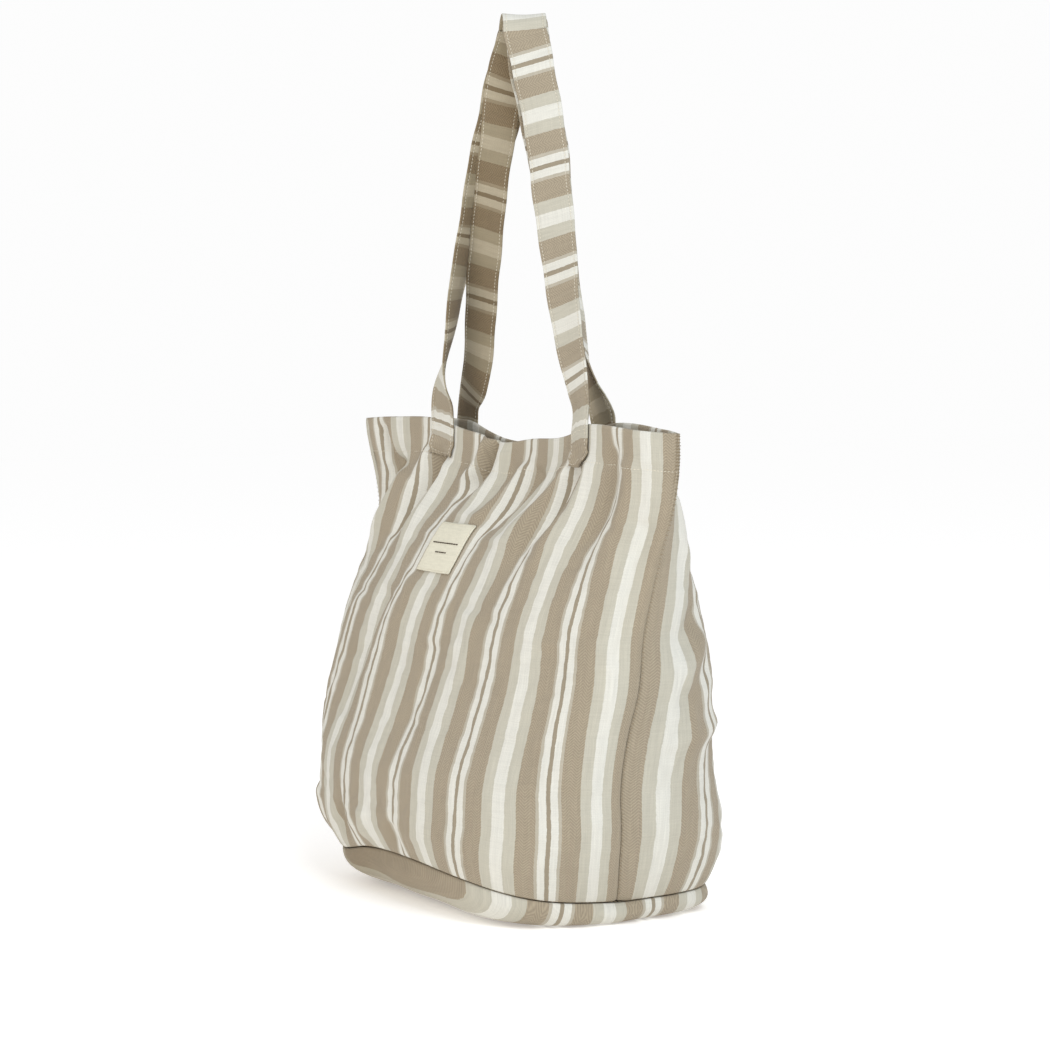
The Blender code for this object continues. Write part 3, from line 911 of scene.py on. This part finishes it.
class Tree:
    """A material's node tree, with each node made in one call."""

    def __init__(self, material):
        material.use_nodes = True
        self.tree = material.node_tree
        self.shader = self.tree.nodes["Principled BSDF"]

    def add(self, kind, inputs=None, **settings):
        made = self.tree.nodes.new(kind)
        for key, value in settings.items():
            setattr(made, key, value)
        for key, value in (inputs or {}).items():
            if isinstance(value, bpy.types.NodeSocket):
                self.tree.links.new(value, made.inputs[key])
            else:
                made.inputs[key].default_value = value
        return made

    def math(self, operation, *values):
        return self.add("ShaderNodeMath", dict(enumerate(values)), operation=operation).outputs[0]

    def mix(self, blend, factor, first, second):
        made = self.add(
            "ShaderNodeMix", {0: factor, 6: first, 7: second}, data_type="RGBA", blend_type=blend
        )
        return made.outputs[2]

    def noise(self, vector, scale, detail=2.0):
        inputs = {"Vector": vector, "Scale": scale, "Detail": detail}
        return self.add("ShaderNodeTexNoise", inputs).outputs[0]

    def stretched(self, vector, x, y, z=1.0):
        return self.add("ShaderNodeMapping", {"Vector": vector, "Scale": (x, y, z)}).outputs[0]


def set_stops(ramp, stops):
    elements = ramp.elements
    while len(elements) < len(stops):
        elements.new(0.5)
    for element, (place, colour) in zip(elements, stops):
        element.position = place
        element.color = (*colour, 1.0)


def stripe_stops(value_of):
    total = sum(width for width, _ in STRIPES)
    stops = []
    start = 0.0
    for width, colour in STRIPES:
        stops.append((start / total, value_of(colour)))
        start += width
    return stops


def striped_cotton(name, axis, repeat, dark_line, under=False, painted_shade_to_left=0.0):
    """Yarn-dyed cotton: plain weave in the pale stripes, herringbone twill in the tan ones.

    The stripes are counted along one axis of the cloth's own measures.
    """
    material = bpy.data.materials.new(name)
    nodes = Tree(material)
    cloth = nodes.add("ShaderNodeUVMap", uv_map="cloth").outputs[0]
    parts = nodes.add("ShaderNodeSeparateXYZ", {0: cloth})
    over = parts.outputs[axis]
    along = parts.outputs[1 - axis]
    # each yarn strays a little, so the edge of a stripe isn't ruled
    warp = nodes.stretched(cloth, *((1400, 40) if axis == 0 else (40, 1400)))
    weft = nodes.stretched(cloth, *((40, 1400) if axis == 0 else (1400, 40)))
    stray = nodes.noise(nodes.stretched(cloth, 260, 260), 1.0)
    strayed = nodes.math("MULTIPLY_ADD", nodes.math("SUBTRACT", stray, 0.5), 0.0011, over)
    place = nodes.math("FRACT", nodes.math("MULTIPLY_ADD", strayed, 1 / repeat, 20 - dark_line / repeat))
    colours = nodes.add("ShaderNodeValToRGB", {0: place})
    colours.color_ramp.interpolation = "CONSTANT"
    set_stops(colours.color_ramp, stripe_stops(lambda colour: colour))
    twilled = nodes.add("ShaderNodeValToRGB", {0: place})
    twilled.color_ramp.interpolation = "CONSTANT"
    plain_weave = (0.12, 0.12, 0.12)
    set_stops(twilled.color_ramp, stripe_stops(lambda colour: (1, 1, 1) if colour is TAN else plain_weave))
    # herringbone: the diagonal turns back every few millimetres
    zigzag = nodes.math("PINGPONG", over, 0.0052)
    diagonal = nodes.math("MULTIPLY", nodes.math("ADD", along, zigzag), 2 * math.pi / 0.0026)
    rib = nodes.math("MULTIPLY_ADD", nodes.math("SINE", diagonal), 0.5, 0.5)
    twill = nodes.math("MULTIPLY", rib, twilled.outputs[0])
    warp_yarn = nodes.noise(warp, 1.0, 1.0)
    weft_yarn = nodes.noise(weft, 1.0, 1.0)
    slub = nodes.noise(nodes.stretched(cloth, *((420, 22) if axis == 0 else (22, 420))), 1.0, 3.0)
    washed = nodes.noise(cloth, 14.0, 3.0)
    shade = nodes.math("MULTIPLY_ADD", twill, -0.24, 1.07)
    shade = nodes.math("MULTIPLY_ADD", nodes.math("SUBTRACT", warp_yarn, 0.5), 0.26, shade)
    shade = nodes.math("MULTIPLY_ADD", nodes.math("SUBTRACT", weft_yarn, 0.5), 0.20, shade)
    shade = nodes.math("MULTIPLY_ADD", nodes.math("SUBTRACT", slub, 0.5), 0.16, shade)
    shade = nodes.math("MULTIPLY_ADD", nodes.math("SUBTRACT", washed, 0.5), 0.10, shade)
    grey = nodes.add("ShaderNodeCombineXYZ", {0: shade, 1: shade, 2: shade}).outputs[0]
    colour = nodes.mix("MULTIPLY", 1.0, colours.outputs[0], grey)
    if painted_shade_to_left:
        # painted shade: the base is darkened towards its left end, where it tucks under in shade
        to_left = {0: along, 1: 0.32, 2: 0.10, 3: 0.0, 4: painted_shade_to_left}
        left = nodes.add("ShaderNodeMapRange", to_left).outputs[0]
        colour = nodes.mix("MULTIPLY", left, colour, (0.68, 0.63, 0.54, 1.0))
    if under:
        # painted shade: the strap's under face, marked by its place across the cloth, is darkened and
        # browned for the shade it lies in, facing down away from the light
        back = nodes.math("GREATER_THAN", along if axis == 0 else parts.outputs[1], 0.15)
        colour = nodes.mix("MULTIPLY", back, colour, (*UNDER_FACE_SHADE, 1.0))
    nodes.tree.links.new(colour, nodes.shader.inputs["Base Color"])
    height = nodes.math("MULTIPLY_ADD", twill, 1.2, nodes.math("ADD", warp_yarn, weft_yarn))
    bump = nodes.add("ShaderNodeBump", {"Strength": 0.55, "Distance": 0.00035, "Height": height})
    nodes.tree.links.new(bump.outputs[0], nodes.shader.inputs["Normal"])
    nodes.shader.inputs["Roughness"].default_value = 0.92
    nodes.shader.inputs["Specular IOR Level"].default_value = 0.25
    nodes.shader.inputs["Sheen Weight"].default_value = 0.10
    nodes.shader.inputs["Sheen Roughness"].default_value = 0.6
    return material


def plain_cotton(name, colour, yarn=900.0, contrast=0.22, strength=0.4):
    """A plain woven finish, used for the label and for thread."""
    material = bpy.data.materials.new(name)
    nodes = Tree(material)
    place = nodes.add("ShaderNodeTexCoord").outputs["Object"]
    warp = nodes.noise(nodes.stretched(place, yarn, yarn, yarn / 12), 1.0)
    weft = nodes.noise(nodes.stretched(place, yarn / 12, yarn / 12, yarn), 1.0)
    both = nodes.math("ADD", warp, weft)
    shade = nodes.math("MULTIPLY_ADD", both, contrast, 1 - contrast)
    grey = nodes.add("ShaderNodeCombineXYZ", {0: shade, 1: shade, 2: shade}).outputs[0]
    nodes.tree.links.new(nodes.mix("MULTIPLY", 1.0, (*colour, 1.0), grey), nodes.shader.inputs["Base Color"])
    bump = nodes.add("ShaderNodeBump", {"Strength": strength, "Distance": 0.0002, "Height": both})
    nodes.tree.links.new(bump.outputs[0], nodes.shader.inputs["Normal"])
    nodes.shader.inputs["Roughness"].default_value = 0.9
    nodes.shader.inputs["Specular IOR Level"].default_value = 0.2
    return material


# The label


def make_label(wall, material):
    width, height = LABEL_SIZE
    across = LABEL_ACROSS + np.linspace(width / 2, -width / 2, 21)
    up = LABEL_UP + np.linspace(-height / 2, height / 2, 17)
    grid_across, grid_up = np.meshgrid(across, up)
    edge = np.minimum(
        width / 2 - np.abs(grid_across - LABEL_ACROSS), height / 2 - np.abs(grid_up - LABEL_UP)
    )
    out = 0.0016 + 0.0004 * smooth(edge / 0.006)
    points = wall.at(grid_across, grid_up, out)
    cloth_uv = np.stack([grid_across, grid_up], axis=-1)
    obj = add_object("label_cloth", mesh_of("label_cloth", points, grid_faces(17, 21, False), cloth_uv))
    give_thickness(obj, LABEL_THICKNESS)
    obj.data.materials.append(material)
    inset = 0.0016
    right, left = LABEL_ACROSS - width / 2 + inset, LABEL_ACROSS + width / 2 - inset
    low, high = LABEL_UP - height / 2 + inset, LABEL_UP + height / 2 - inset
    steps = np.linspace(0, 1, 40)
    border = [
        wall.at(left + (right - left) * steps, 0 * steps + low, 0.0022),
        wall.at(left + (right - left) * steps, 0 * steps + high, 0.0022),
        wall.at(0 * steps + left, low + (high - low) * steps, 0.0022),
        wall.at(0 * steps + right, low + (high - low) * steps, 0.0022),
    ]
    rows = []
    for row_up, half, pitch, dash in ((0.0035, 0.0210, 0.0042, 0.0026), (-0.0050, 0.0085, 0.0034, 0.0018)):
        for place in np.arange(-half, half + 0.0001, pitch):
            ends = np.array([place - dash / 2, place + dash / 2])
            rows.append(wall.at(LABEL_ACROSS - ends, np.full(2, LABEL_UP + row_up), 0.0026))
    return obj, border, rows


# The stitch lines


def level_line(wall, up, out, start=0.002, end=PANEL_WIDTH - 0.002, step=0.003):
    across = np.arange(start, end, step)
    return wall.at(across, np.full_like(across, up), out)


def strap_lines(points, section):
    """Lines along a strap, near both edges of both faces."""
    lines = []
    inset_lift = 0.0002
    for target in (EDGE_STITCH, -EDGE_STITCH):
        for face in (1, -1):
            best = int(np.argmin(np.abs(section[:, 0] - target) + (np.sign(section[:, 1]) != face) * 1.0))
            twin = int(np.argmin(np.abs(section[:, 0] - target) + (np.sign(section[:, 1]) == face) * 1.0))
            line = points[:, best]
            lift = unit(line - points[:, twin]) * inset_lift
            lines.append((line + lift)[4:-4])
    return lines


def tab_lines(wall, tab_across):
    """Two level rows of stitches, near the foot and the top of a tab, that hold it to the hem."""
    out = CLOTH / 2 + 2 * STRAP_HALF + TAB_GAP
    low, high = WALL_HEIGHT - TAB_DEPTH + 0.003, WALL_HEIGHT - 0.004
    steps = np.linspace(-EDGE_STITCH, EDGE_STITCH, 20)
    return [
        wall.at(tab_across + steps, np.full_like(steps, low), out),
        wall.at(tab_across + steps, np.full_like(steps, high), out),
    ]


def seam_bars(front, back, share_across, low, high, pitch, reach):
    """Short threads across a side seam."""
    bars = []
    for up in np.arange(low, high, pitch):
        inner = abs(share_across - reach)
        a = front.at(inner, up, 0.0009)
        middle = (front.at(share_across, up, 0.0) + back.at(share_across, up, 0.0)) / 2
        outward = np.array([1.0 if share_across < 0.1 else -1.0, 0, 0])
        b = back.at(inner, up, 0.0009)
        bars.append(np.array([a, middle + outward * 0.0004, b]))
    return bars


# Everything in its place


def hold(obj, body, slot, *nodes):
    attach(obj, body)
    if nodes:
        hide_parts(*nodes)


front = make_wall(FRONT, FRONT_FOLDS)
back = make_wall(BACK, BACK_FOLDS)

wall_cotton = striped_cotton("striped_cotton", 0, STRIPE_REPEAT, FIRST_DARK_LINE)
# The base's cotton carries painted shade, darker towards its left end
base_cotton = striped_cotton("base_cotton", 0, STRIPE_REPEAT, -0.0425, painted_shade_to_left=1.0)
strap_cotton = striped_cotton("strap_cotton", 0, STRAP_REPEAT, STRAP_DARK_LINE, under=True)
label_cotton = plain_cotton("label_cotton", srgb(214, 209, 190))
thread = plain_cotton("thread", srgb(214, 206, 188), 2500.0)
seam_thread = plain_cotton("seam_thread", srgb(140, 124, 100), 2500.0)
mark_thread = plain_cotton("mark_thread", srgb(70, 58, 46), 2500.0)

front_cloth = finish_wall(front, "front_cloth")
back_cloth = finish_wall(back, "back_cloth")
base_cloth = make_base(front, back)
for obj, finish, node in (
    (front_cloth, wall_cotton, "front_panel"),
    (back_cloth, wall_cotton, "back_panel"),
    (base_cloth, base_cotton, "base_panel"),
):
    obj.data.materials.append(finish)
    hold(obj, "bag", "striped_cloth", node)

running = running_stitch_tree()
whip = whip_stitch_tree()

label_cloth, label_border, label_rows = make_label(front, label_cotton)
hold(label_cloth, "bag", "label_cloth", "label")
label_threads = sew(
    "label_threads", running, label_border, thread, Step=0.0024, Length=0.0018, Thickness=0.0005
)
hold(label_threads, "bag", "thread", "label_stitching")
label_marks = sew("label_marks", whip, label_rows, mark_thread, Thickness=0.0011)
hold(label_marks, "bag", "thread")

for side, wall, word in ((FRONT, front, "front"), (BACK, back, "back")):
    handle = word + "_handle"
    strap, points, section, along = make_strap(side, wall, word + "_strap")
    strap.data.materials.append(strap_cotton)
    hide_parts(handle, handle + "_left_tab", handle + "_right_tab")
    tab_rows = []
    for hand in (-1, 1):
        tab_rows += tab_lines(wall, tab_middle(wall, hand))
    strap_rows = strap_lines(points, section) + tab_rows
    strap_threads = sew(word + "_strap_threads", running, strap_rows, thread)
    tabs = [handle + "_left_tab_stitching", handle + "_right_tab_stitching"]
    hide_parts(handle + "_topstitching", *tabs)
    for piece in (strap, strap_threads):
        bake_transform(piece)
    hem_row = level_line(wall, WALL_HEIGHT - HEM_LINE, 0.0007)
    hem_threads = sew(word + "_hem_threads", running, [hem_row], thread)
    hold(hem_threads, "bag", "thread", word + "_hem_stitching")

for word, share_across in (("right", 0.0), ("left", PANEL_WIDTH)):
    bars = seam_bars(front, back, share_across, WALL_HEIGHT - 0.041, WALL_HEIGHT - 0.001, 0.0028, 0.0030)
    bars += seam_bars(front, back, share_across, 0.010, WALL_HEIGHT - 0.045, 0.0042, 0.0006)
    seam_threads = sew(word + "_seam_threads", whip, bars, seam_thread, Thickness=0.0006)
    hold(seam_threads, "bag", "thread", word + "_side_seam_stitching")

seam_line = [level_line(wall, 0.0006, -0.0012) for wall in (front, back)]
base_threads = sew("base_seam_threads", running, seam_line, seam_thread, Step=0.0034, Length=0.0024)
hold(base_threads, "bag", "thread", "base_seam_stitching")


# The studio


def aim(obj, target):
    obj.rotation_mode = "QUATERNION"
    obj.rotation_quaternion = (Vector(target) - obj.location).to_track_quat("-Z", "Y")


def add_camera():
    data = bpy.data.cameras.new("camera")
    data.lens = 111.0
    data.sensor_width = 36
    camera = add_object("camera", data)
    turn, distance, height = math.radians(60), 2.7, 0.485
    camera.location = (distance * math.sin(turn), -distance * math.cos(turn), height)
    aim(camera, (0, 0, height - math.tan(math.radians(3.67)) * distance))
    bpy.context.scene.camera = camera


def add_floor():
    reach, drop = 8.0, -0.0004
    corners = [(-reach, -reach, drop), (reach, -reach, drop), (reach, reach, drop), (-reach, reach, drop)]
    mesh = bpy.data.meshes.new("floor")
    mesh.from_pydata(corners, [], [(0, 1, 2, 3)])
    material = bpy.data.materials.new("floor")
    nodes = Tree(material)
    nodes.shader.inputs["Base Color"].default_value = (0.99, 0.975, 0.955, 1)
    nodes.shader.inputs["Roughness"].default_value = 1.0
    nodes.shader.inputs["Specular IOR Level"].default_value = 0.0
    nodes.shader.inputs["Emission Color"].default_value = (1.0, 0.985, 0.975, 1)
    nodes.shader.inputs["Emission Strength"].default_value = 0.295
    mesh.materials.append(material)
    add_object("floor", mesh)


def add_light(name, place, size, power, colour, target=(0, 0, 0.3)):
    data = bpy.data.lights.new(name, "AREA")
    data.size = size
    data.energy = power
    data.color = colour
    lamp = add_object(name, data)
    lamp.location = place
    aim(lamp, target)


def add_world():
    """An even white room, a little dimmer than the white that is seen behind the bag."""
    world = bpy.data.worlds.new("studio")
    world.use_nodes = True
    tree = world.node_tree
    room = tree.nodes["Background"]
    room.inputs["Color"].default_value = (0.955, 0.975, 1.0, 1)
    room.inputs["Strength"].default_value = 0.72
    seen = tree.nodes.new("ShaderNodeBackground")
    seen.inputs["Color"].default_value = (1, 1, 1, 1)
    seen.inputs["Strength"].default_value = 0.98
    path = tree.nodes.new("ShaderNodeLightPath")
    either = tree.nodes.new("ShaderNodeMixShader")
    tree.links.new(path.outputs["Is Camera Ray"], either.inputs[0])
    tree.links.new(room.outputs[0], either.inputs[1])
    tree.links.new(seen.outputs[0], either.inputs[2])
    tree.links.new(either.outputs[0], tree.nodes["World Output"].inputs[0])
    bpy.context.scene.world = world


bpy.context.scene.view_settings.view_transform = "Standard"
add_camera()
add_floor()
add_world()
add_light("key", (2.4, -0.5, 2.0), 1.4, 42, (0.84, 0.92, 1.0))
add_light("fill", (0.2, -2.6, 1.0), 1.6, 14, (1.0, 0.90, 0.78))
